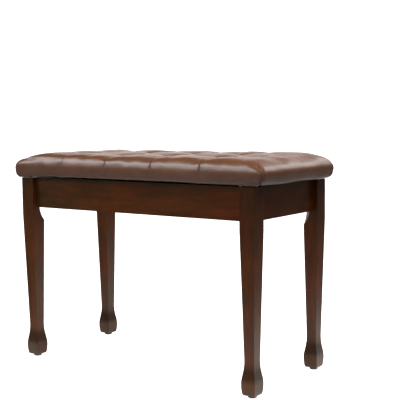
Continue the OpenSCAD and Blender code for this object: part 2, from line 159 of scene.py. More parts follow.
def walnut(name, axis, seed, shade=None, dark=(0.037, 0.0094, 0.0014), mid=(0.049, 0.0133, 0.0021), light=(0.063, 0.0188, 0.0033)):
    """Dark walnut stain under satin lacquer, grain along one axis."""
    m = Mat(name)
    fig = m.noise(stretched(m, axis, 2.2, 26, seed), 1.0, 6, 0.62, 0.9)
    fibre = m.noise(stretched(m, axis, 9, 420, seed + 5), 1.0, 4, 0.6, 0.2)
    blotch = m.noise(stretched(m, axis, 5.0, 11, seed + 9), 1.0, 3, 0.5, 0.4)
    base = m.ramp(fig, [(0.30, dark), (0.50, mid), (0.72, light)])
    red = m.mix(m.grey(blotch, 0.40, 0.66), (0.86, 0.98, 0.96), (1.18, 0.98, 0.82))
    base = m.mix(1.0, base, red, "MULTIPLY")
    stain = m.noise(stretched(m, axis, 13, 44, seed + 13), 1.0, 4, 0.58, 0.7)
    base = m.mix(1.0, base, m.mix(m.grey(stain, 0.36, 0.64), (0.78, 0.90, 0.92), (1.22, 1.10, 1.02)), "MULTIPLY")
    # each shade entry tints the colour from lo to hi along one axis, most of them as painted shade
    for ax_, lo, hi, tint in shade or []:
        c = m.n("SeparateXYZ", i0=m.obj()).outputs[ax_]
        base = m.mix(m.grey(c, lo, hi), base, m.mix(1.0, base, tint, "MULTIPLY"))
    streak = m.grey(fibre, 0.30, 0.70, 0.86, 1.12)
    sn = m.n("CombineColor", Red=streak, Green=streak, Blue=streak).outputs[0]
    base = m.mix(1.0, base, sn, "MULTIPLY")
    pore = m.noise(stretched(m, axis, 46, 1100, seed + 2), 1.0, 2, 0.5, 0.1)
    pores = m.grey(pore, 0.60, 0.68)
    base = m.mix(m.math("MULTIPLY", pores, 0.40), base, (0.010, 0.004, 0.002))
    h = m.math("SUBTRACT", m.math("MULTIPLY", fibre, 0.5), m.math("MULTIPLY", pores, 0.6))
    smooth = m.noise(m.mapped((1, 1, 1), loc=(seed, 0, 0)), 36, 2, 0.5)
    h2 = m.bump(smooth, 0.25, 0.0006)
    rough = m.math("ADD", m.grey(fibre, 0.2, 0.8, 0.26, 0.36), m.math("MULTIPLY", pores, 0.15))
    m.set(Base_Color=base, Roughness=rough, Normal=m.bump(h, 0.22, 0.00012, h2))
    m.bsdf.inputs["Specular IOR Level"].default_value = 0.17
    return m.m


def pale_wood(name, axis, seed, dark, light, rough=(0.5, 0.62), edge=None):
    m = Mat(name)
    fig = m.noise(stretched(m, axis, 3.0, 34, seed), 1.0, 6, 0.6, 1.2)
    fibre = m.noise(stretched(m, axis, 14, 600, seed + 5), 1.0, 3, 0.6)
    base = m.ramp(fig, [(0.32, dark), (0.70, light)])
    s = m.grey(fibre, 0.3, 0.7, 0.86, 1.08)
    base = m.mix(1.0, base, m.n("CombineColor", Red=s, Green=s, Blue=s).outputs[0], "MULTIPLY")
    m.set(Base_Color=base, Roughness=m.grey(fibre, 0.2, 0.8, *rough),
          Normal=m.bump(m.math("ADD", fibre, m.math("MULTIPLY", fig, 0.4)), 0.3, 0.0002))
    return m.m


def metal(name, colour, rough, aniso_axis=None, seed=0.0, tarnish=None):
    m = Mat(name)
    cloud = m.noise(m.mapped((1, 1, 1), loc=(seed, seed, 0)), 60, 4, 0.6)
    if aniso_axis is not None:
        brush = m.noise(stretched(m, aniso_axis, 60, 3000, seed), 1.0, 2, 0.5)
    else:
        brush = m.noise(m.obj(), 2600, 2, 0.5)
    col = m.mix(m.grey(cloud, 0.35, 0.7), tuple(c * 0.80 for c in colour), colour)
    if tarnish is not None:
        col = m.mix(m.grey(m.noise(m.obj(), 240, 4, 0.65), 0.55, 0.75, 0, 0.5), col, tarnish)
    r = m.math("ADD", m.grey(brush, 0.25, 0.75, rough - 0.06, rough + 0.08), m.grey(cloud, 0.3, 0.8, 0.0, 0.08))
    m.set(Base_Color=col, Roughness=r, Normal=m.bump(brush, 0.12, 0.00005))
    m.bsdf.inputs["Metallic"].default_value = 1.0
    return m.m


def black_plastic(name):
    m = Mat(name)
    g = m.noise(m.obj(), 900, 3, 0.6)
    c = m.noise(m.obj(), 70, 3, 0.5)
    m.set(Base_Color=m.mix(m.grey(c, 0.3, 0.7), (0.012, 0.012, 0.013), (0.03, 0.029, 0.028)),
          Roughness=m.grey(c, 0.3, 0.7, 0.42, 0.60), Normal=m.bump(g, 0.2, 0.0001))
    m.bsdf.inputs["Specular IOR Level"].default_value = 0.22
    return m.m


def bumper_rubber(name):
    m = Mat(name)
    c = m.noise(m.obj(), 300, 3, 0.5)
    m.set(Base_Color=m.mix(m.grey(c, 0.3, 0.7), (0.62, 0.61, 0.56), (0.75, 0.74, 0.70)),
          Roughness=m.grey(c, 0.3, 0.7, 0.28, 0.42), Normal=m.bump(c, 0.1, 0.0001))
    m.bsdf.inputs["Subsurface Weight"].default_value = 0.15
    m.bsdf.inputs["Subsurface Radius"].default_value = (0.004, 0.004, 0.003)
    m.bsdf.inputs["Subsurface Scale"].default_value = 0.5
    return m.m


def leather(name, fold_shade=True):
    """Brown bonded leather: fine pebble grain, soft mottling, painted shade in the folds."""
    m = Mat(name)
    p = m.obj()
    warp = m.n("VectorMath", {"operation": "ADD"}, i0=p, i1=m.n("VectorMath", {"operation": "SCALE"},
               i0=m.n("TexNoise", Vector=p, Scale=380.0, Detail=2.0).outputs["Color"], Scale=0.0009).outputs[0]).outputs[0]
    cell = m.n("TexVoronoi", {"feature": "DISTANCE_TO_EDGE"}, Vector=warp, Scale=620.0).outputs["Distance"]
    cell2 = m.n("TexVoronoi", {"feature": "F1"}, Vector=warp, Scale=1500.0).outputs["Distance"]
    grain = m.math("SUBTRACT", m.grey(cell, 0.0, 0.16), m.math("MULTIPLY", cell2, 0.35))
    cloud = m.noise(p, 16, 4, 0.55, 0.6)
    patch = m.noise(p, 95, 4, 0.6)
    col = m.ramp(cloud, [(0.30, (0.070, 0.0270, 0.0110)), (0.52, (0.081, 0.0317, 0.0136)), (0.74, (0.092, 0.0368, 0.0166))])
    col = m.mix(1.0, col, m.mix(m.grey(patch, 0.3, 0.7), (0.94, 0.94, 0.94), (1.05, 1.05, 1.04)), "MULTIPLY")
    col = m.mix(m.grey(cell, 0.0, 0.05, 0.30, 0.0), col, (0.040, 0.017, 0.010))
    # painted shade: the leather darkens toward the hem, which is also rougher
    hem = m.grey(m.n("SeparateXYZ", Vector=p).outputs["Z"], 0.4641, 0.4861, 1.0, 0.0)
    col = m.mix(hem, col, m.mix(1.0, col, (0.58, 0.56, 0.56), "MULTIPLY"))
    rough = m.math("ADD", m.grey(patch, 0.3, 0.7, 0.34, 0.39), m.math("MULTIPLY", hem, 0.38))
    if fold_shade:
        # painted shade: the leather is darker and rougher in the folds
        a = m.n("Attribute", {"attribute_name": "fold_shade"}).outputs["Fac"]
        col = m.mix(m.math("MULTIPLY", a, 0.8, clamp=True), col, (0.026, 0.011, 0.007))
        rough = m.math("ADD", rough, m.math("MULTIPLY", a, 0.4), clamp=True)
    wr = m.noise(m.mapped((1, 1, 1)), 130, 5, 0.62, 1.1)
    n1 = m.bump(wr, 0.05, 0.0010)
    m.set(Base_Color=col, Roughness=rough, Normal=m.bump(grain, 0.16, 0.00012, n1))
    m.bsdf.inputs["Specular IOR Level"].default_value = 0.5
    m.bsdf.inputs["Coat Weight"].default_value = 0.08
    m.bsdf.inputs["Coat Roughness"].default_value = 0.26
    return m.m


def fabric_black(name):
    """Black non-woven dust cloth: bonded dots and loose fibres."""
    m = Mat(name)
    p = m.obj()
    dots = m.n("TexVoronoi", {"feature": "F1"}, Vector=p, Scale=700.0, Randomness=0.15).outputs["Distance"]
    fibre = m.noise(m.mapped((1, 1, 1)), 1800, 4, 0.7, 2.5)
    c = m.mix(m.grey(fibre, 0.35, 0.7), (0.012, 0.012, 0.013), (0.045, 0.045, 0.048))
    c = m.mix(m.grey(dots, 0.18, 0.30, 0.7, 0.0), c, (0.010, 0.010, 0.011))
    m.set(Base_Color=c, Roughness=m.grey(fibre, 0.3, 0.7, 0.75, 0.95),
          Normal=m.bump(m.math("ADD", fibre, m.grey(dots, 0.1, 0.4)), 0.35, 0.00015))
    m.bsdf.inputs["Sheen Weight"].default_value = 0.25
    return m.m


def foam(name):
    m = Mat(name)
    p = m.obj()
    v = m.n("TexVoronoi", {"feature": "F1"}, Vector=p, Scale=900.0).outputs["Distance"]
    c = m.mix(m.grey(v, 0.1, 0.5), (0.52, 0.44, 0.22), (0.72, 0.64, 0.38))
    m.set(Base_Color=c, Roughness=m.grey(v, 0, 0.6, 0.85, 0.98), Normal=m.bump(v, 0.5, 0.0004))
    return m.m


def twine(name):
    m = Mat(name)
    w = m.n("TexWave", {"wave_type": "BANDS", "bands_direction": "DIAGONAL"}, Vector=m.obj(), Scale=180.0,
            Distortion=1.0).outputs["Fac"]
    m.set(Base_Color=m.mix(w, (0.45, 0.40, 0.30), (0.68, 0.63, 0.50)), Roughness=m.grey(w, 0, 1, 0.7, 0.9),
          Normal=m.bump(w, 0.5, 0.0003))
    return m.m


def give(node, mat):
    o = NODES[node]
    if not o.material_slots:
        o.data.materials.append(mat)
    for s in o.material_slots:
        s.material = mat


WALNUT_SEEDS = {"leg_front_left": (2, 1.3), "leg_front_right": (2, 2.9), "leg_rear_left": (2, 4.4),
                "leg_rear_right": (2, 6.2), "front_apron": (0, 3.7), "rear_apron": (0, 7.1),
                "left_apron": (1, 5.5), "right_apron": (1, 8.3)}
for node, (axis, seed) in WALNUT_SEEDS.items():
    if node[:3] == "leg":
        # the legs grow darker toward the top
        shade = [(2, 0.30, 0.44, (0.68, 0.70, 0.74))]
        if node == "leg_front_left":
            # the front left leg also has painted shade at its top, under the seat's overhang
            shade = [(2, 0.30, 0.44, (0.62, 0.82, 0.98)), (2, 0.43, 0.458, (0.66, 0.98, 1.25))]
        # painted shade in the hollow above each foot, lifted again on the ball below it; each leg's lower part gets its
        # own tint
        shade += [(2, 0.077, 0.060, (0.46, 0.50, 0.58)), (2, 0.043, 0.031, (1.85, 1.95, 1.85)),
                  (2, 0.32, 0.16, {"leg_front_left": (0.86, 0.97, 1.0), "leg_front_right": (1.14, 1.18, 1.20),
                                   "leg_rear_left": (0.86, 0.90, 0.90), "leg_rear_right": (1.10, 1.08, 0.95)}[node])]
    else:
        # painted shade along the top of each apron, under the seat's overhang
        shade = [(2, 0.442, 0.459, (0.58, 0.76, 0.80))]
    if node == "front_apron":
        # front apron: painted shade along its top and toward its left end
        shade = [(2, 0.445, 0.459, (0.60, 0.95, 1.50)), (0, -0.08, -0.26, (0.76, 1.06, 1.60))]
    if node == "right_apron":
        shade.append((2, 0.30, 0.34, (0.86, 0.84, 0.25)))
    give(node, walnut("walnut_" + node, axis, seed, shade))
give("bottom_panel", pale_wood("panel_ply", 0, 1.7, (0.30, 0.17, 0.085), (0.46, 0.30, 0.17)))
for i, node in enumerate(["corner_block_front_left", "corner_block_front_right", "corner_block_rear_left", "corner_block_rear_right"]):
    give(node, pale_wood("block_" + node[13:], 2, 2.2 + i, (0.34, 0.21, 0.11), (0.50, 0.35, 0.20)))
give("seat_board", pale_wood("board_ply", 0, 9.1, (0.36, 0.23, 0.12), (0.52, 0.37, 0.22)))
zinc = metal("zinc_plate", (0.60, 0.60, 0.58), 0.34, seed=1.0)
screws = metal("screw_steel", (0.55, 0.50, 0.38), 0.36, seed=2.0)
stay_m = metal("stay_steel", (0.62, 0.62, 0.63), 0.30, 1, seed=3.0)
brass = metal("hinge_brass", (0.72, 0.52, 0.24), 0.32, 0, seed=4.0, tarnish=(0.34, 0.22, 0.10))
for n in ["hanger_bolts", "hanger_washers", "wing_nuts", "glide_nails", "cover_staples"]:
    give(n, zinc)
for n in ["corner_block_screws", "stay_box_screws", "stay_lid_screws"]:
    give(n, screws)
for n in ["stay_box_bracket", "stay_box_rivet", "stay_lower_arm", "stay_upper_arm", "stay_elbow_rivet", "stay_lid_bracket", "stay_lid_rivet"]:
    give(n, stay_m)
for n in ["hinge_box_leaf", "hinge_lid_leaf", "hinge_pin", "hinge_box_screws", "hinge_lid_screws"]:
    give(n, brass)
give("floor_glides", black_plastic("glide_plastic"))
give("lid_bumpers", bumper_rubber("bumper_rubber"))
give("tuft_ties", twine("twine"))
LEATHER = leather("leather")
FOAM = foam("foam")

# ---------------------------------------------------------------- edges of the CAD pieces


def soften(node, width, segments=3, angle=35):
    """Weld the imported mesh, merge its flat faces and round its edges, without touching the mesh itself."""
    o = NODES[node]
    w = o.modifiers.new("weld", "WELD")
    w.merge_threshold = 0.00001
    d = o.modifiers.new("flats", "DECIMATE")
    d.decimate_type = "DISSOLVE"
    d.angle_limit = math.radians(0.4)
    b = o.modifiers.new("edges", "BEVEL")
    b.width = width
    b.segments = segments
    b.limit_method = "ANGLE"
    b.angle_limit = math.radians(angle)
    b.miter_outer = "MITER_ARC"
    b.use_clamp_overlap = True
    n = o.modifiers.new("normals", "WEIGHTED_NORMAL")
    n.weight = 80
    n.keep_sharp = False
    for p in o.data.polygons:
        p.use_smooth = True


for n in ["leg_front_left", "leg_front_right", "leg_rear_left", "leg_rear_right"]:
    soften(n, 0.0020, 4)
for n in ["front_apron", "rear_apron", "left_apron", "right_apron"]:
    soften(n, 0.0010, 3)
for n in ["bottom_panel", "corner_block_front_left", "corner_block_front_right", "corner_block_rear_left", "corner_block_rear_right"]:
    soften(n, 0.0005, 2)

# ---------------------------------------------------------------- cushion

HX, HY, Z0 = 372.5, 162.6, 465.1      # half sizes of the seat and the height of its underside, mm
SEAM_X = np.array([-206.1, -68.7, 68.7, 206.1])
SEAM_Y = np.array([-54.0, 54.0])
# level, inset along X, inset along Y, corner radius
RULE = np.array([
    [0, 9.5, 6, 10], [1.2, 7, 3.6, 11], [3.2, 4.6, 1.8, 12.5], [8, 1.9, 0.7, 14], [13, 0.6, 0.2, 15],
    [19, 0, 0, 15], [25, 1, 0.4, 15], [30, 3, 1.3, 16], [36, 7.5, 3.1, 17.5], [39, 11, 4.2, 18.5],
    [42, 16.5, 5.8, 20], [46, 25.5, 8.3, 22], [50, 37.5, 12.2, 25], [52.4, 49, 16.2, 27],
    [54, 60, 20.5, 28], [55.2, 75, 27, 30], [56.1, 95, 40, 32], [56.7, 130, 62, 32], [57.1, 200, 100, 25],
    [57.3, 371.5, 161.6, 1]])


def pchip(x, y, q):
    """Monotone cubic through (x, y), at q."""
    h = np.diff(x)
    d = np.diff(y) / h
    m = np.zeros(len(x))
    m[0], m[-1] = d[0], d[-1]
    for i in range(1, len(x) - 1):
        if d[i - 1] * d[i] > 0:
            w1, w2 = 2 * h[i] + h[i - 1], h[i] + 2 * h[i - 1]
            m[i] = (w1 + w2) / (w1 / d[i - 1] + w2 / d[i])
    k = np.clip(np.searchsorted(x, q) - 1, 0, len(h) - 1)
    t = (q - x[k]) / h[k]
    return ((2 * t**3 - 3 * t**2 + 1) * y[k] + (t**3 - 2 * t**2 + t) * h[k] * m[k]
            + (-2 * t**3 + 3 * t**2) * y[k + 1] + (t**3 - t**2) * h[k] * m[k + 1])


_s = np.concatenate([[0], np.cumsum(np.hypot(np.diff(RULE[:, 0]), 0.5 * (np.diff(RULE[:, 1]) + np.diff(RULE[:, 2]))))])
S = np.linspace(0, _s[-1], 900)
LV = np.stack([pchip(_s, RULE[:, c], S) for c in range(4)], 1)
S_AT = {i: _s[i] for i in range(len(_s))}


def level(s):
    return [np.interp(s, S, LV[:, c]) for c in range(4)]


def crown(x, y):
    """Height above the underside of the smooth seat at plan points."""
    lo, hi = np.full(x.shape, S_AT[5]), np.full(x.shape, S[-1])
    for _ in range(34):
        mid = 0.5 * (lo + hi)
        _, ix, iy, r = level(mid)
        qx, qy = np.abs(x) - (HX - ix - r), np.abs(y) - (HY - iy - r)
        sd = np.hypot(np.maximum(qx, 0), np.maximum(qy, 0)) + np.minimum(np.maximum(qx, qy), 0) - r
        out = sd > 0
        hi = np.where(out, mid, hi)
        lo = np.where(out, lo, mid)
    return level(0.5 * (lo + hi))[0]


def spaced(a, b, step, seams, fine, width):
    """Points from a to b, step apart and finer near the seams, with a point on each seam."""
    marks = [a] + [s for s in seams if a < s < b] + [b]
    out = [a]
    for p, q in zip(marks[:-1], marks[1:]):
        t = np.linspace(p, q, 2000)
        rho = np.full(t.shape, 1 / step)
        for s in seams:
            rho += (1 / fine - 1 / step) * np.exp(-((t - s) / width) ** 2)
        c = np.concatenate([[0], np.cumsum(0.5 * (rho[1:] + rho[:-1]) * np.diff(t))])
        n = max(1, int(round(c[-1])))
        out += list(np.interp(np.arange(1, n + 1) * c[-1] / n, c, t))
    return np.array(out)


def axis_points(keep, half, step, seams, fine, width, cells):
    inner = spaced(-keep, keep, step, seams, fine, width)
    ext = keep + (half - keep) * np.arange(1, cells + 1) / cells
    return np.concatenate([-ext[::-1], inner, ext])


def cushion_grid(step, fine, width, gap=0.0):
    """The seat's surface as quads. gap pulls it inside.

    Returns points, faces, the last ring, the kind of ring of each point, and how far round the edge
    each point lies from its corner (positive toward the end of the seat)."""
    kx, gx, ky, gy = 222.0, 300.0, 70.0, 102.0
    path_x = (HX - 15 - kx) + 15 * math.pi / 4
    path_y = (HY - 15 - ky) + 15 * math.pi / 4
    xs = axis_points(kx, gx, step, SEAM_X, fine, width, int(round(path_x / step * 1.3)))
    ys = axis_points(ky, gy, step, SEAM_Y, fine, width, int(round(path_y / step * 1.4)))
    nx, ny = len(xs), len(ys)
    X, Y = np.meshgrid(xs, ys, indexing="ij")
    pts = [np.stack([X.ravel(), Y.ravel(), crown(X.ravel(), Y.ravel())], 1)]
    ids = np.arange(nx * ny).reshape(nx, ny)
    faces = [np.stack([ids[:-1, :-1], ids[1:, :-1], ids[1:, 1:], ids[:-1, 1:]], -1).reshape(-1, 4)]
    # border loop, counterclockwise from the front left
    loop = np.concatenate([ids[:-1, 0], ids[-1, :-1], ids[:0:-1, -1], ids[0, :0:-1]])
    bx, by = X.ravel()[loop], Y.ravel()[loop]
    side = np.concatenate([np.full(nx - 1, 0), np.full(ny - 1, 1), np.full(nx - 1, 2), np.full(ny - 1, 3)])
    corner_at = ((0, -1), (nx - 1, 1), (nx + ny - 2, -1), (2 * nx + ny - 3, 1))

    def round_edge(ring):
        seg = np.hypot(*(np.roll(ring[:, :2], -1, 0) - ring[:, :2]).T)
        c = np.concatenate([[0], np.cumsum(seg)])
        best = np.full(len(loop), 1e3)
        for i, sg in corner_at:
            d = (c[:-1] - c[i] + c[-1] / 2) % c[-1] - c[-1] / 2
            best = np.where(np.abs(d) < np.abs(best), sg * d, best)
        return best

    def on_ring(hx, hy, r, cx=0.0, cy=0.0):
        px, py = np.zeros(len(loop)), np.zeros(len(loop))
        for sd in range(4):
            k = side == sd
            along_x = sd in (0, 2)
            v = bx[k] if along_x else by[k]
            keep, half, h, o = (kx, gx, hx, hy) if along_x else (ky, gy, hy, hx)
            a, sg = np.abs(v), np.sign(v)
            straight = h - r
            kp = min(keep, straight - 1)
            total = (straight - kp) + r * math.pi / 4
            f = np.clip((a - keep) / (half - keep), 0, 1)
            f = 1.5 * f - 0.5 * f * f
            d = np.where(a <= keep, a * (kp / keep if kp < keep else 1), kp + total * f)
            ang = np.clip((d - straight) / max(r, 1e-6), 0, math.pi / 4)
            u = np.where(d > straight, straight + r * np.sin(ang), d)
            w = np.where(d > straight, o - r + r * np.cos(ang), o)
            out = -1 if sd in (0, 3) else 1
            if along_x:
                px[k], py[k] = sg * u, out * w
            else:
                px[k], py[k] = out * w, sg * u
        return px + cx, py + cy

    rings, ring_s = [], []
    s_top = S_AT[7]
    _, ix, iy, r = [float(v) for v in level(s_top)]
    ox, oy = on_ring(HX - ix, HY - iy, r)
    # equal steps along the front profile
    t = np.linspace(0, 1, 400)
    yy = -(gy + (HY - iy - gy) * t)
    prof = np.stack([yy, crown(np.zeros(400), yy)], 1)
    cl = np.concatenate([[0], np.cumsum(np.hypot(*np.diff(prof, axis=0).T))])
    n = int(round(cl[-1] / step))
    for tj in np.interp(np.arange(1, n + 1) * cl[-1] / n, cl, t):
        px, py = bx + (ox - bx) * tj, by + (oy - by) * tj
        rings.append(np.stack([px, py, crown(px, py)], 1))
        ring_s.append(0)
    n = int(round((S_AT[7] - S_AT[1]) / (step * 0.9)))
    for s in np.concatenate([np.linspace(s_top, S_AT[1], n + 1)[1:], [S_AT[0] + 0.55 * (S_AT[1] - S_AT[0]), S_AT[0]]]):
        h, ix, iy, r = [float(v) for v in level(s)]
        px, py = on_ring(HX - ix, HY - iy, r)
        rings.append(np.stack([px, py, np.full(len(px), h)], 1))
        ring_s.append(1)
    # under the edge, to the hem
    for f, h in [(0.025, -0.12), (0.06, -0.15), (0.12, -0.08), (0.20, -0.02), (0.34, 0), (0.5, 0), (0.68, 0), (0.86, 0), (1.0, 0)]:
        hx, hy0, hy1 = (HX - 9.5) * (1 - f) + 308 * f, (HY - 6) * (1 - f) + 116 * f, (HY - 6) * (1 - f) + 124 * f
        px, py = on_ring(hx, 0.5 * (hy0 + hy1), 10 * (1 - f) + 4 * f, 0.0, 0.5 * (hy1 - hy0))
        rings.append(np.stack([px, py, np.full(len(px), h)], 1))
        ring_s.append(2)
    px, py = rings[-1][:, 0], rings[-1][:, 1]
    for h in (0.9, 4.0):
        rings.append(np.stack([px, py, np.full(len(px), h)], 1))
        ring_s.append(3)
    m = len(loop)
    prev = loop
    base = nx * ny
    tag = [np.zeros(nx * ny, int)]
    arc = [np.full(nx * ny, 1e3)]
    for j, ring in enumerate(rings):
        pts.append(ring)
        arc.append(round_edge(ring))
        tag.append(np.full(m, ring_s[j]))
        cur = base + j * m + np.arange(m)
        nxt = np.roll(cur, -1)
        faces.append(np.stack([prev, cur, nxt, np.roll(prev, -1)], 1))
        prev = cur
    P = np.concatenate(pts)
    if gap:
        P[:, 0] *= (HX - gap) / HX
        P[:, 1] *= (HY - gap) / HY
    return P, np.concatenate(faces), prev, np.concatenate(tag), np.concatenate(arc)


def normals_of(P, F):
    e = np.cross(P[F[:, 2]] - P[F[:, 0]], P[F[:, 3]] - P[F[:, 1]])
    N = np.zeros_like(P)
    for c in range(4):
        np.add.at(N, F[:, c], e)
    return N / np.maximum(np.linalg.norm(N, axis=1), 1e-9)[:, None]


def smooth01(t):
    t = np.clip(t, 0, 1)
    return t * t * (3 - 2 * t)


def ripple(u, seed, wavelengths):
    """A sum of sines with fixed phases, about -1 to 1."""
    rng = np.random.RandomState(seed)
    out = np.zeros_like(u)
    for w in wavelengths:
        out += np.sin(2 * np.pi * u / w + rng.uniform(0, 6.283)) * rng.uniform(0.6, 1.0)
    return out / len(wavelengths)


def bell(d, w):
    return np.exp(-(d / w) ** 2)


def tufting(P, fine=True):
    """How far each point moves along its normal, in mm, and how deep in a fold it lies, 0 to 1."""
    x, y, h = P.T
    D, C = np.zeros(len(P)), np.zeros(len(P))
    top = smooth01((h - 28) / 20)
    onside = 1 - top
    end = smooth01((np.abs(x) - (HX - 60)) / 40)
    low = smooth01((h - 3) / 16)                # fades the seams toward the bottom edge
    # panels: the seat sinks toward each seam
    dxs = x[:, None] - SEAM_X
    dys = y[:, None] - SEAM_Y
    dx = np.abs(dxs).min(1)
    dy = np.abs(dys).min(1)
    side_x = onside * smooth01((np.abs(y) - 130) / 20)   # front and back faces
    side_y = onside * smooth01((np.abs(x) - 330) / 20)   # end faces
    run_y = HY - np.abs(y)                       # distance in from the front or back edge
    deep = smooth01((run_y - 6) / 42)
    ax = (0.5 + 2.3 * deep) * top + 0.45 * low * (1 - top)
    ay = 3.0 * top + 0.5 * low * (1 - top)
    # the long seams die out before they reach the ends, the rear one first at the left
    ends = smooth01((np.abs(x) - np.where((x < 0) & (y > 0), 252, 292)) / 40)
    ay = ay * (1 - 0.92 * ends)
    ax = ax * (1 - 0.75 * smooth01((y - 45) / 60))
    valley_x = bell(dx, 21) * 0.75 + bell(dx, 7.5) * 0.25
    valley_y = bell(dy, 20) * 0.75 + bell(dy, 7.5) * 0.25
    on_x = np.where(side_y > 0.5, 0, 1)
    D -= ax * valley_x + ay * valley_y * (1 - 0.55 * valley_x)
    # each cushion stands a little proud between its seams
    flat = smooth01((h - 40) / 14)
    slant = x + 0.717 * y                     # the middle is sat in a little, on a slant
    D += flat * (1.5 * (1 - bell(dx, 30)) * (1 - 0.6 * bell(dy, 24))
                 - 2.1 * (1 - smooth01((-slant - 245) / 60)) * (1 - smooth01((slant - 215) / 50)) - 1.2 * bell(slant + 132, 42))
    # the left end is pulled down a little harder than the right, and both ends lean
    D -= 3.4 * smooth01((-x - 250) / 100) * smooth01((h - 30) / 16)
    D += 1.5 * smooth01((x - 285) / 50) * smooth01((y - 70) / 60) * smooth01((h - 34) / 14)
    D += bell(h - 45, 8) * (1.5 * smooth01((x - 330) / 25) * smooth01((y - 60) / 60) + 1.7 * smooth01((-x - 325) / 30))
    D += onside * smooth01((np.abs(x) - 330) / 20) * np.where(x > 0, -1.3 * smooth01((26 - h) / 14), 0.2)
    # narrow crease with one lip a little proud
    k = np.abs(dxs).argmin(1)
    sgx = dxs[np.arange(len(P)), k] * np.where(k % 2 == 0, 1, -1)
    kk = np.abs(dys).argmin(1)
    sgy = dys[np.arange(len(P)), kk] * np.where(kk == 0, 1, -1)
    if fine:
        gone = smooth01((h - 19) / 12) + 0.5 * smooth01((h - 6) / 14) * (1 - smooth01((h - 19) / 12)) * (k == 3)
        cx = ((0.70 + 0.45 * deep) * top + 0.80 * gone * (1 - top)) * np.array([0.6, 0.85, 1.1, 1.2])[k] * bell(dx, 1.2)
        cy = 1.15 * top * (1 - ends) * bell(dy, 1.25)
        D -= cx + cy
        D += ((0.22 + 0.25 * deep) * top + 0.12 * gone * (1 - top)) * bell(sgx - 4.6, 3.3)
        D += 0.45 * top * (1 - ends) * bell(sgy - 4.4, 3.0)
        C = np.maximum(C, np.clip(bell(dx, 1.7) * gone * np.array([0.4, 0.8, 1.0, 1.0])[k], 0, 1))
        C = np.maximum(C, bell(dy, 1.5) * top * (1 - ends))
    # buttons pull the crossings down
    bx = dx
    rho = np.hypot(dx, dy)
    D -= top * (6.2 * np.exp(-(rho / 17.0) ** 2) + 3.0 * np.exp(-(rho / 34.0) ** 2))
    if fine:
        ang = np.arctan2(dys[np.arange(len(P)), kk], dxs[np.arange(len(P)), k])
        ph = (k * 1.7 + kk * 2.3)
        folds = np.cos(8 * ang + ph) * 0.6 + np.cos(5 * ang - ph * 1.3) * 0.4
        D += top * 0.9 * folds * np.exp(-((rho - 15) / 9.0) ** 2)
        C = np.maximum(C, top * 0.75 * np.exp(-((rho - 9.5) / 2.6) ** 2))
        # tension ripples along the seams
        rx = ripple(y + 0.0 * x, 11, [9.5, 13.0, 17.5]) * bell(dx, 11) * (1 - bell(dx, 2.2))
        rx2 = ripple(h * 1.3 + y * 0.2, 17, [9.0, 14.0]) * bell(dx, 9) * (1 - bell(dx, 2.0))
        ry = ripple(x, 13, [10.0, 12.5, 18.0]) * bell(dy, 11) * (1 - bell(dy, 2.2))
        D += 0.38 * top * (rx + ry * (1 - ends)) + 0.16 * side_x * rx2 * low
    # the leather never lies quite even
    D += 0.55 * top * ripple(x + 0.35 * y, 3, [61, 87, 143]) * (1 - np.exp(-(rho / 30) ** 2))
    D += 0.45 * ripple(x * 0.8 - y * 0.6, 5, [47, 71, 118]) * (h > -0.5)
    # front and back: pulled to the staples under the edge
    pull = smooth01((16 - h) / 14) * smooth01((h + 3) / 4)
    D += 0.35 * pull * (ripple(x, 21, [28, 37, 52]) * side_x + ripple(y, 23, [26, 35, 49]) * side_y)
    if fine:
        # where a seam turns over the front or back edge it opens into two short pleats
        ey = np.abs(y)
        run = (HY - ey)                          # distance in from the edge
        for s in SEAM_X:
            d = x - s
            arm = 11 * smooth01((run - 7) / 30)
            gate = smooth01((run - 5) / 6) * (1 - smooth01((run - 26) / 22)) * top
            D -= gate * 0.28 * (bell(d - arm, 2.6) + bell(d + arm, 2.6))
            C = np.maximum(C, gate * 0.30 * np.maximum(bell(d - arm, 1.6), bell(d + arm, 1.6)))
    return D, C


def corner_tuck(P, arc):
    """The folded corners: the front leather runs round the corner and tucks under the lip of the end leather."""
    x, y, h = P.T
    D, C = np.zeros(len(P)), np.zeros(len(P))
    # the fold leans: it starts near the top of the edge on the front side and ends on the end side
    hh = np.clip(h, 0, 46)
    tc = -3.4 + 2.7 * smooth01(hh / 18) - 1.2 * smooth01((hh - 24) / 14)
    a = arc - tc
    gate = (np.abs(arc) < 60) * smooth01((45 - h) / 5) * smooth01((h + 1.5) / 3)
    near = np.abs(arc) < 90
    step = near * smooth01((a + 36) / 34) * (1 - smooth01((a + 0.8) / 2.6)) * smooth01((h + 1.5) / 3) * smooth01((50 - h) / 9)
    D -= (0.55 + 0.9 * np.exp(-((h - 40) / 10.0) ** 2)) * step
    D -= near * smooth01((-y - 60) / 40) * 1.3 * smooth01((a + 34) / 22) * (1 - smooth01((a - 1) / (3 + 50 * smooth01((h - 41) / 11)))) * smooth01((h - 32) / 12) * (1 - smooth01((h - 45) / 7))
    D -= gate * 1.25 * bell(a, 1.2)
    D += gate * (0.75 * bell(a - 2.8, 2.2) + 0.35 * bell(a - 8, 6))
    C = np.maximum(C, gate * bell(a, 1.3) * 0.95)
    # the mouth of the tuck, a small hollow with painted shade in it
    D -= near * 1.5 * np.exp(-((h - 40) / 3.0) ** 2) * bell(a, 2.4)
    C = np.maximum(C, near * np.clip(np.exp(-((h - 40) / 2.6) ** 2) * bell(a, 2.2) * 1.1, 0, 1))
    # soft folds that run from the mouth into the top
    for off, wid, amt in ((-22, 5.0, 0.25), (10, 4.6, 0.20)):
        f = near * smooth01((h - 38) / 4) * (1 - smooth01((h - 48) / 5)) * bell(arc + 5 - off * (h - 38) / 12, wid)
        D -= amt * f
        C = np.maximum(C, 0.2 * f)
    return D, C


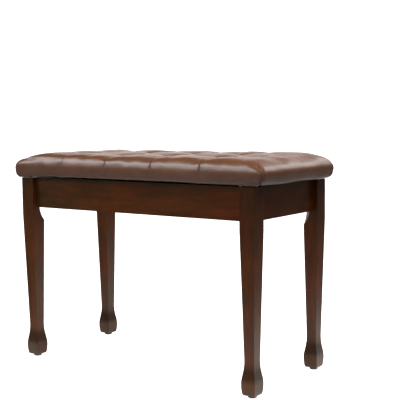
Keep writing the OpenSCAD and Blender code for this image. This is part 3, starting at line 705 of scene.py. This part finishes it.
def under_gathers(P):
    """Pleats in the leather turned under the corners."""
    x, y, h = P.T
    ax, ay = np.abs(x) - (HX - 60), np.abs(y) - (HY - 45)
    th = np.arctan2(ax, ay)
    near = smooth01((ax + 6) / 16) * smooth01((ay + 6) / 16) * smooth01((1.5 - h) / 2.0)
    return near * (0.5 + 0.5 * np.cos(th * 26)) * 0.55


def build_mesh(name, P, F, cap, mat, fold_shade=None, smooth=True):
    me = bpy.data.meshes.new(name)
    nv, nf = len(P), len(F)
    loops = np.concatenate([F.ravel(), cap]) if cap is not None else F.ravel()
    me.vertices.add(nv)
    me.vertices.foreach_set("co", (P / 1000.0).astype(np.float32).ravel())
    me.loops.add(len(loops))
    me.loops.foreach_set("vertex_index", loops.astype(np.int32))
    starts = np.arange(nf) * 4
    if cap is not None:
        starts = np.concatenate([starts, [nf * 4]])
    me.polygons.add(len(starts))
    me.polygons.foreach_set("loop_start", starts.astype(np.int32))
    me.update(calc_edges=True)
    me.validate()
    me.polygons.foreach_set("use_smooth", np.full(len(me.polygons), smooth))
    if fold_shade is not None:
        a = me.attributes.new("fold_shade", "FLOAT", "POINT")
        a.data.foreach_set("value", fold_shade.astype(np.float32))
    me.materials.append(mat)
    o = bpy.data.objects.new(name, me)
    bpy.context.scene.collection.objects.link(o)
    return o


def evened(v, F, times):
    """Each value becomes the mean of its neighbours, this many times over."""
    for _ in range(times):
        acc, cnt = np.zeros_like(v), np.zeros_like(v)
        m4 = v[F].mean(1)
        for k in range(4):
            np.add.at(acc, F[:, k], m4)
            np.add.at(cnt, F[:, k], 1)
        v = acc / np.maximum(cnt, 1)
    return v


def pressed(P_fine, F_fine):
    """Cloth run: a coarse copy of the leather, pinned at its seams, buttons and hem, is blown up from inside.

    Returns how far each point of the fine surface moves along its normal, in mm."""
    P, F, cap, tag, arc = cushion_grid(6.5, 3.2, 6.0)
    N = normals_of(P, F)
    D, _ = tufting(P, fine=False)
    Q = P + N * (D * (tag <= 1))[:, None]
    o = build_mesh("press_form", Q, F, cap[::-1], LEATHER)
    x, y, h = P.T
    dx = np.abs(x[:, None] - SEAM_X).min(1)
    dy = np.abs(y[:, None] - SEAM_Y).min(1)
    top = smooth01((h - 28) / 20)
    hold = np.maximum(bell(dx, 4.5) * (0.25 + 0.75 * top), bell(dy, 4.5) * top)
    hold = np.maximum(hold, top * bell(np.hypot(dx, dy), 16))
    hold = np.where(tag >= 2, 1.0, np.maximum(hold, smooth01((5 - h) / 4)))
    g = o.vertex_groups.new(name="hold")
    for i in np.nonzero(hold > 0.02)[0]:
        g.add([int(i)], float(min(hold[i], 1.0)), "REPLACE")
    c = o.modifiers.new("press", "CLOTH")
    st = c.settings
    st.quality = 6
    st.mass = 0.02
    st.tension_stiffness = st.compression_stiffness = 18
    st.shear_stiffness = 8
    st.bending_stiffness = 0.05
    st.air_damping = 2
    st.use_pressure = True
    st.uniform_pressure_force = 4
    st.shrink_min = -0.035
    st.vertex_group_mass = "hold"
    st.pin_stiffness = 1.0
    st.effector_weights.gravity = 0
    c.collision_settings.use_collision = False
    c.point_cache.frame_start, c.point_cache.frame_end = 1, 20
    scene = bpy.context.scene
    for f in range(1, 21):
        scene.frame_set(f)
    got = o.evaluated_get(bpy.context.evaluated_depsgraph_get()).data
    R = np.empty(len(P) * 3, np.float32)
    got.vertices.foreach_get("co", R)
    dn = ((R.reshape(-1, 3).astype(float) * 1000 - Q) * N).sum(1)
    print("cloth run: moved mm min, median, max", dn.min().round(2), np.median(dn).round(2), dn.max().round(2))
    scene.frame_set(1)
    bpy.data.objects.remove(o, do_unlink=True)
    # the swelling of a whole panel is already in the form: only the puckers and soft wrinkles are kept
    dn = np.where(tag <= 1, dn, 0)
    dn = np.clip(dn - evened(dn, F, 24), -2.6, 2.6)
    dn *= (0.20 + 0.22 * top) * (1 - 0.45 * smooth01((np.abs(x) - 280) / 60))
    tree = KDTree(len(P))
    for i, p in enumerate(P):
        tree.insert(p, i)
    tree.balance()
    out = np.zeros(len(P_fine))
    for i, p in enumerate(P_fine):
        ws = vs = 0.0
        for _, j, d in tree.find_n(p, 9):
            w_ = math.exp(-(d / 5.5) ** 2) + 1e-9
            ws += w_
            vs += w_ * dn[j]
        out[i] = vs / ws
    return evened(out, F_fine, 3)


def make_cushion():
    P, F, cap, tag, arc = cushion_grid(2.9, 0.62, 3.4)
    N = normals_of(P, F)
    D, C = tufting(P)
    D += pressed(P, F)
    D2, C2 = corner_tuck(P, arc)
    live = np.where(tag <= 1, 1.0, 0.0)
    Q = P + N * ((D + D2) * live)[:, None]
    # the lip hangs lower beside the front corners, where the leather is doubled
    x, y, h = P.T
    lowrow = smooth01((7 - h) / 7) * (tag <= 2) * smooth01((np.abs(y) - 146) / 8)
    hang = (y < 0) * (tag <= 2) * smooth01((-arc - 3.0) / 2.5) * smooth01((44 + arc) / 5) * (np.abs(arc) < 90)
    Q[:, 2] -= lowrow * hang * 3.1
    Q[:, 2] -= lowrow * (y < 0) * 1.5 * smooth01((-x - 240) / 30)
    Q[:, 2] -= lowrow * (y < 0) * (1.1 * smooth01((x - 165) / 40) * smooth01((318 - x) / 8) + 1.6 * bell(x + 207, 15))
    endrow = smooth01((7 - h) / 7) * (tag <= 2) * smooth01((x - 352) / 8)
    Q[:, 2] -= endrow * smooth01((arc - 4) / 8) * (0.7 + 1.7 * bell(y + 58, 46) + 1.5 * smooth01((y - 15) / 60))
    # behind, the lip stays up and in, clear of the hinge
    rear = (y > 120) * (h < 7) * smooth01((322 - np.abs(x)) / 14)
    up = rear * smooth01((7 - h) / 6)
    Q[:, 2] = Q[:, 2] * (1 - up) + np.maximum(Q[:, 2], 0.1) * up
    Q[:, 1] -= up * np.where(tag <= 1, 1.2, 0) + up * (tag == 2) * 1.2 * smooth01((y - 140) / 15)
    Q[:, 2] += under_gathers(P) * (tag == 2)
    Q[:, 2] += Z0
    # the fold depths become painted shade in the leather's colour
    C = np.maximum(C, C2) * (tag <= 1)
    # winding: rings run outward and down, so faces point out
    o = build_mesh("seat_cushion", Q, F, cap[::-1], LEATHER, C)
    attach(o, "lid")
    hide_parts("seat_cover")
    return o


def make_foam():
    P, F, cap, tag, arc = cushion_grid(9, 4, 8)
    N = normals_of(P, F)
    D, C = tufting(P, fine=False)
    keep = tag <= 1
    Q = P.copy()
    Q += N * ((D - 3.4 - 5.0 * bell(arc, 22)) * np.where(keep, 1, 0))[:, None]
    # flat on the board: its lower rim follows the board's top edge
    x, y, h = P.T
    bx, by = 354.0, 152.4
    under = tag >= 2
    Q[under, 2] = 0
    Q[:, 0] = np.where(under, np.clip(x, -bx + 4, bx - 4), Q[:, 0])
    Q[:, 1] = np.where(under, np.clip(y, -by + 4, by - 4), Q[:, 1])
    Q[:, 2] = np.maximum(Q[:, 2], 13.4)
    Q[:, 2] = np.where(tag == 3, 13.3, Q[:, 2])
    Q[:, 2] += Z0
    o = build_mesh("foam_core", Q, F, cap[::-1], FOAM, None)
    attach(o, "lid")
    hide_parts("foam_pad")
    return o


cushion = make_cushion()
foam_core = make_foam()


def make_buttons():
    """Leather-covered buttons: a domed disc with gathers round its rim, set in each tuft."""
    verts, faces, cr = [], [], []
    prof = [(0.0, 5.9), (1.8, 5.8), (3.6, 5.5), (5.2, 5.0), (6.8, 4.25), (8.1, 3.35), (9.1, 2.3), (9.75, 1.2), (9.9, 0.4), (9.3, -0.3), (7.5, -0.6), (4, -0.6), (0, -0.6)]
    na = 56
    for bi, cx in enumerate(SEAM_X):
        for bj, cy in enumerate(SEAM_Y):
            base = len(verts)
            rng = np.random.RandomState(40 + bi * 2 + bj)
            tilt = rng.uniform(-0.03, 0.03, 2)
            ph = rng.uniform(0, 6.28)
            for pi_, (r, z) in enumerate(prof):
                if r == 0:
                    verts.append((cx, cy, z))
                    cr.append(0.0)
                    continue
                for a in range(na):
                    t = 2 * math.pi * a / na
                    g = max(0.0, (r - 5.5) / 4.4)
                    rr = r * (1 + 0.012 * g * math.sin(14 * t + ph) + 0.006 * g * math.sin(23 * t))
                    zz = z + 0.12 * g * math.sin(14 * t + ph)
                    px, py = rr * math.cos(t), rr * math.sin(t)
                    verts.append((cx + px, cy + py, zz + tilt[0] * px + tilt[1] * py))
                    # painted shade under the rim of each button
                    cr.append(min(1.0, max(0.0, (2.6 - z) / 3.0)) * 0.7)
            rings = []
            i = base
            for r, z in prof:
                if r == 0:
                    rings.append([i])
                    i += 1
                else:
                    rings.append(list(range(i, i + na)))
                    i += na
            for ra, rb in zip(rings[:-1], rings[1:]):
                for a in range(na):
                    b = (a + 1) % na
                    if len(ra) == 1:
                        faces.append((ra[0], rb[a], rb[b]))
                    elif len(rb) == 1:
                        faces.append((ra[a], rb[0], ra[b]))
                    else:
                        faces.append((ra[a], rb[a], rb[b], ra[b]))
    z_button = 509.6
    me = bpy.data.meshes.new("tufting_buttons")
    me.from_pydata([(x / 1000, y / 1000, (z + z_button) / 1000) for x, y, z in verts], [], faces)
    me.polygons.foreach_set("use_smooth", np.full(len(me.polygons), True))
    a = me.attributes.new("fold_shade", "FLOAT", "POINT")
    a.data.foreach_set("value", np.array(cr, np.float32))
    me.materials.append(LEATHER)
    o = bpy.data.objects.new("covered_buttons", me)
    bpy.context.scene.collection.objects.link(o)
    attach(o, "lid")
    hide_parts("tuft_buttons")
    return o


make_buttons()


def make_dust_cover():
    """Black dust cloth stretched over the underside, slack between its staples, edges turned under."""
    nx, ny = 160, 70
    xs, ys = np.linspace(-318, 318, nx), np.linspace(-126, 134, ny)
    X, Y = np.meshgrid(xs, ys, indexing="ij")
    ex = np.minimum(X + 318, 318 - X)
    ey = np.minimum(Y + 126, 134 - Y)
    e = np.minimum(ex, ey)
    z = 464.98 - 0.16 * (ripple(X.ravel(), 31, [57.0]).reshape(X.shape) * bell(ey, 22) + 0.5 * ripple(X.ravel() + Y.ravel() * 0.7, 33, [83, 47, 31]).reshape(X.shape) * smooth01(e / 30))
    z = np.clip(z, 464.80, 465.06)
    hem = smooth01((9 - e) / 1.2) * 0.05
    z_low = np.clip(z - 0.10 - hem, 464.72, 465.0)
    P = np.concatenate([np.stack([X.ravel(), Y.ravel(), z_low.ravel()], 1), np.stack([X.ravel(), Y.ravel(), z.ravel()], 1)])
    ids = np.arange(nx * ny).reshape(nx, ny)
    f = np.stack([ids[:-1, :-1], ids[:-1, 1:], ids[1:, 1:], ids[1:, :-1]], -1).reshape(-1, 4)
    g = f[:, ::-1] + nx * ny
    loop = np.concatenate([ids[:-1, 0], ids[-1, :-1], ids[:0:-1, -1], ids[0, :0:-1]])
    nl = np.roll(loop, -1)
    rim = np.stack([loop, nl, nl + nx * ny, loop + nx * ny], 1)
    o = build_mesh("dust_cloth", P, np.concatenate([f, g, rim]), None, fabric_black("dust_fabric"))
    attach(o, "lid")
    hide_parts("dust_cover")
    return o


make_dust_cover()

# ---------------------------------------------------------------- studio

FWD = np.array([-math.sin(0.62224976), math.cos(0.62224976)])
SIDE = np.array([FWD[1], -FWD[0]])


def floor_material():
    m = Mat("studio_floor")
    n = m.noise(m.obj(), 3, 3, 0.5)
    glow = m.n("Attribute", {"attribute_name": "glow"}).outputs["Fac"]
    pale = m.mix(m.grey(n, 0.3, 0.7), (0.60, 0.60, 0.60), (0.64, 0.64, 0.64))
    far = m.n("VectorMath", {"operation": "LENGTH"}, i0=m.obj()).outputs["Value"]
    near = m.math("MAXIMUM", glow, m.grey(far, 0.30, 0.80, 1.0, 0.0))
    m.set(Base_Color=m.mix(near, (0.22, 0.22, 0.223), pale), Roughness=m.grey(n, 0.3, 0.7, 0.75, 0.85))
    m.bsdf.inputs["Specular IOR Level"].default_value = 0.2
    m.bsdf.inputs["Emission Color"].default_value = (1, 1, 1, 1)
    m.put(m.bsdf.inputs["Emission Strength"], m.math("MULTIPLY_ADD", glow, 1.04, 0.0))
    return m.m


def make_floor():
    """A round white studio floor that curves up into a low wall, lit from within behind the bench."""
    prof = [(0.08 * i, 0.0) for i in range(41)]
    prof += [(3.2 + 0.8 * math.sin(a), 0.8 - 0.8 * math.cos(a)) for a in np.linspace(0, math.pi / 2, 13)[1:]]
    prof += [(4.0, 1.0), (4.0, 1.2), (4.0, 1.5), (4.0, 2.0), (4.0, 2.5), (4.0, 3.0)]
    na = 240
    vs, fs = [(0, 0, 0)], []
    for r, z in prof[1:]:
        vs += [(r * math.cos(t), r * math.sin(t), z) for t in np.linspace(0, 2 * math.pi, na, endpoint=False)]
    for a in range(na):
        b = (a + 1) % na
        fs.append((0, 1 + a, 1 + b))
        for j in range(len(prof) - 2):
            p, q = 1 + j * na, 1 + (j + 1) * na
            fs.append((p + a, q + a, q + b, p + b))
    P = np.array(vs)
    d, s = P[:, :2] @ FWD, np.abs(P[:, :2] @ SIDE - 0.075)
    w = 0.50 + 0.214 * d
    glow = smooth01((w + 0.38 - s) / 0.32) * smooth01((d + 0.58) / 0.23) * (1 - 0.6 * smooth01((P[:, 2] - 1.45) / 0.9))
    me = bpy.data.meshes.new("floor")
    me.from_pydata(vs, [], fs)
    me.polygons.foreach_set("use_smooth", np.full(len(fs), True))
    at = me.attributes.new("glow", "FLOAT", "POINT")
    at.data.foreach_set("value", glow.astype(np.float32))
    me.materials.append(floor_material())
    o = bpy.data.objects.new("floor", me)
    bpy.context.scene.collection.objects.link(o)


make_floor()


def area(name, loc, target, size, radiance, colour=(1, 1, 1), size_y=None):
    d = bpy.data.lights.new(name, "AREA")
    d.shape = "RECTANGLE"
    d.size = size
    d.size_y = size_y or size
    d.energy = radiance * math.pi * d.size * d.size_y
    d.color = colour
    o = bpy.data.objects.new(name, d)
    bpy.context.scene.collection.objects.link(o)
    o.location = loc
    o.rotation_euler = (Vector(target) - Vector(loc)).to_track_quat("-Z", "Y").to_euler()
    return o


area("softbox_left", (-2.28, -2.37, 2.75), (0, 0, 0.45), 3.3, 9.6, (1.0, 0.985, 1.0), 1.17)
area("softbox_right", (0.68, 2.1, 1.80), (0, 0, 0.45), 1.6, 3.8, (1.0, 0.985, 0.99), 0.85)
TOP = area("softbox_top", (0.60, 0.0, 2.30), (0, 0, 0.4), 2.2, 8.4, (1.0, 0.99, 0.98), 1.8)
area("softbox_fill", (1.05, -2.2, 1.75), (0, 0, 0.40), 1.1, 3.6, (1.0, 0.99, 0.98), 0.9)
TOP.visible_glossy = False                    # it only fills: no hot spot on the rounded corners
w = bpy.data.worlds.new("studio")
w.use_nodes = True
w.node_tree.nodes["Background"].inputs[0].default_value = (0.95, 0.97, 1.0, 1)
w.node_tree.nodes["Background"].inputs[1].default_value = 0.06
bpy.context.scene.world = w
bpy.context.scene.view_settings.view_transform = "Standard"
bpy.context.scene.view_settings.look = "None"
